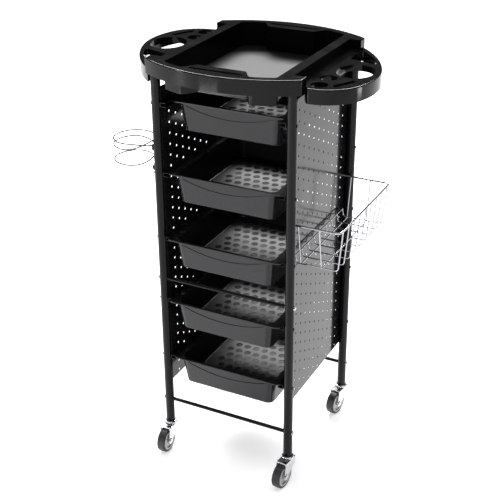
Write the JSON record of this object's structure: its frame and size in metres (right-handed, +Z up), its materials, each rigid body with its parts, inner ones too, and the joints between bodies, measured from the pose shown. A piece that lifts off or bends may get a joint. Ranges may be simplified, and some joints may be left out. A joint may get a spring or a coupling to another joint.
{
  "type": "rolling salon trolley",
  "caption": "Salon trolley: moulded tool tray on tube legs, perforated side panels, sliding drawers, wire basket, dryer coil and swivel casters.",
  "frame": {"origin": "on the floor, in the middle of the four legs", "axes": "+X to the right across the front, +Y to the back, +Z up"},
  "size_m": [0.5082, 0.402, 0.88],
  "materials": {
    "tray_plastic": "high-gloss black injection-moulded ABS",
    "drawer_plastic": "semi-gloss black moulded polypropylene",
    "frame_paint": "black powder coat, semi-gloss",
    "chrome": "bright chrome plate",
    "bearing_steel": "polished bearing steel",
    "screw_steel": "black oxide screw steel",
    "nylon": "black nylon",
    "hub_plastic": "light grey moulded polypropylene",
    "tyre": "black thermoplastic rubber"
  },
  "bodies": {
    "frame": {"top_tray": "tray_plastic", "tray_screws": "screw_steel", "leg_front_left": "frame_paint", "leg_front_right": "frame_paint", "leg_rear_left": "frame_paint", "leg_rear_right": "frame_paint", "leg_plugs": "nylon", "side_panel_left": "frame_paint", "side_panel_right": "frame_paint", "runner_left_1": "frame_paint", "runner_right_1": "frame_paint", "runner_left_2": "frame_paint", "runner_right_2": "frame_paint", "runner_left_3": "frame_paint", "runner_right_3": "frame_paint", "runner_left_4": "frame_paint", "runner_right_4": "frame_paint", "runner_left_5": "frame_paint", "runner_right_5": "frame_paint", "runner_screws": "screw_steel", "crossbar_front_bottom": "frame_paint", "crossbar_front_middle": "frame_paint", "crossbar_rear_bottom": "frame_paint", "crossbar_rear_middle": "frame_paint", "crossbar_bolts": "chrome", "race_balls": "bearing_steel", "caster_stem_front_left": "chrome", "caster_race_front_left": "chrome", "caster_stem_front_right": "chrome", "caster_race_front_right": "chrome", "caster_stem_rear_left": "chrome", "caster_race_rear_left": "chrome", "caster_stem_rear_right": "chrome", "caster_race_rear_right": "chrome", "wire_basket": "chrome", "dryer_coil": "chrome", "coil_screws": "chrome"},
    "drawer_body_1": {"drawer_1": "drawer_plastic"},
    "drawer_body_2": {"drawer_2": "drawer_plastic"},
    "drawer_body_3": {"drawer_3": "drawer_plastic"},
    "drawer_body_4": {"drawer_4": "drawer_plastic"},
    "drawer_body_5": {"drawer_5": "drawer_plastic"},
    "swivel_front_left": {"caster_fork_front_left": "chrome", "caster_axle_front_left": "chrome"},
    "wheel_front_left": {"caster_hub_front_left": "hub_plastic", "caster_tyre_front_left": "tyre"},
    "swivel_front_right": {"caster_fork_front_right": "chrome", "caster_axle_front_right": "chrome"},
    "wheel_front_right": {"caster_hub_front_right": "hub_plastic", "caster_tyre_front_right": "tyre"},
    "swivel_rear_left": {"caster_fork_rear_left": "chrome", "caster_axle_rear_left": "chrome"},
    "wheel_rear_left": {"caster_hub_rear_left": "hub_plastic", "caster_tyre_rear_left": "tyre"},
    "swivel_rear_right": {"caster_fork_rear_right": "chrome", "caster_axle_rear_right": "chrome"},
    "wheel_rear_right": {"caster_hub_rear_right": "hub_plastic", "caster_tyre_rear_right": "tyre"}
  },
  "joints": [
    {"name": "drawer_slide_1", "type": "slide", "parent": "frame", "child": "drawer_body_1", "axis": [0, -1, 0], "range_m": [0, 0.2]},
    {"name": "drawer_slide_2", "type": "slide", "parent": "frame", "child": "drawer_body_2", "axis": [0, -1, 0], "range_m": [-0.021, 0.179]},
    {"name": "drawer_slide_3", "type": "slide", "parent": "frame", "child": "drawer_body_3", "axis": [0, -1, 0], "range_m": [-0.03, 0.17]},
    {"name": "drawer_slide_4", "type": "slide", "parent": "frame", "child": "drawer_body_4", "axis": [0, -1, 0], "range_m": [-0.0325, 0.1675]},
    {"name": "drawer_slide_5", "type": "slide", "parent": "frame", "child": "drawer_body_5", "axis": [0, -1, 0], "range_m": [-0.025, 0.175]},
    {"name": "caster_swivel_front_left", "type": "hinge", "parent": "frame", "child": "swivel_front_left", "pos_m": [-0.1415, -0.148, 0.062], "axis": [0, 0, 1], "continuous": true},
    {"name": "wheel_spin_front_left", "type": "hinge", "parent": "swivel_front_left", "child": "wheel_front_left", "pos_m": [-0.14066, -0.17198, 0.0275], "axis": [0.9994, 0.0349, 0], "continuous": true},
    {"name": "caster_swivel_front_right", "type": "hinge", "parent": "frame", "child": "swivel_front_right", "pos_m": [0.1415, -0.148, 0.062], "axis": [0, 0, 1], "continuous": true},
    {"name": "wheel_spin_front_right", "type": "hinge", "parent": "swivel_front_right", "child": "wheel_front_right", "pos_m": [0.13899, -0.17187, 0.0275], "axis": [0.9945, -0.1045, 0], "continuous": true},
    {"name": "caster_swivel_rear_left", "type": "hinge", "parent": "frame", "child": "swivel_rear_left", "pos_m": [-0.1415, 0.148, 0.062], "axis": [0, 0, 1], "continuous": true},
    {"name": "wheel_spin_rear_left", "type": "hinge", "parent": "swivel_rear_left", "child": "wheel_rear_left", "pos_m": [-0.14276, 0.12403, 0.0275], "axis": [0.9986, -0.0523, 0], "continuous": true},
    {"name": "caster_swivel_rear_right", "type": "hinge", "parent": "frame", "child": "swivel_rear_right", "pos_m": [0.1415, 0.148, 0.062], "axis": [0, 0, 1], "continuous": true},
    {"name": "wheel_spin_rear_right", "type": "hinge", "parent": "swivel_rear_right", "child": "wheel_rear_right", "pos_m": [0.13775, 0.1243, 0.0275], "axis": [0.9877, -0.1564, 0], "continuous": true}
  ]
}
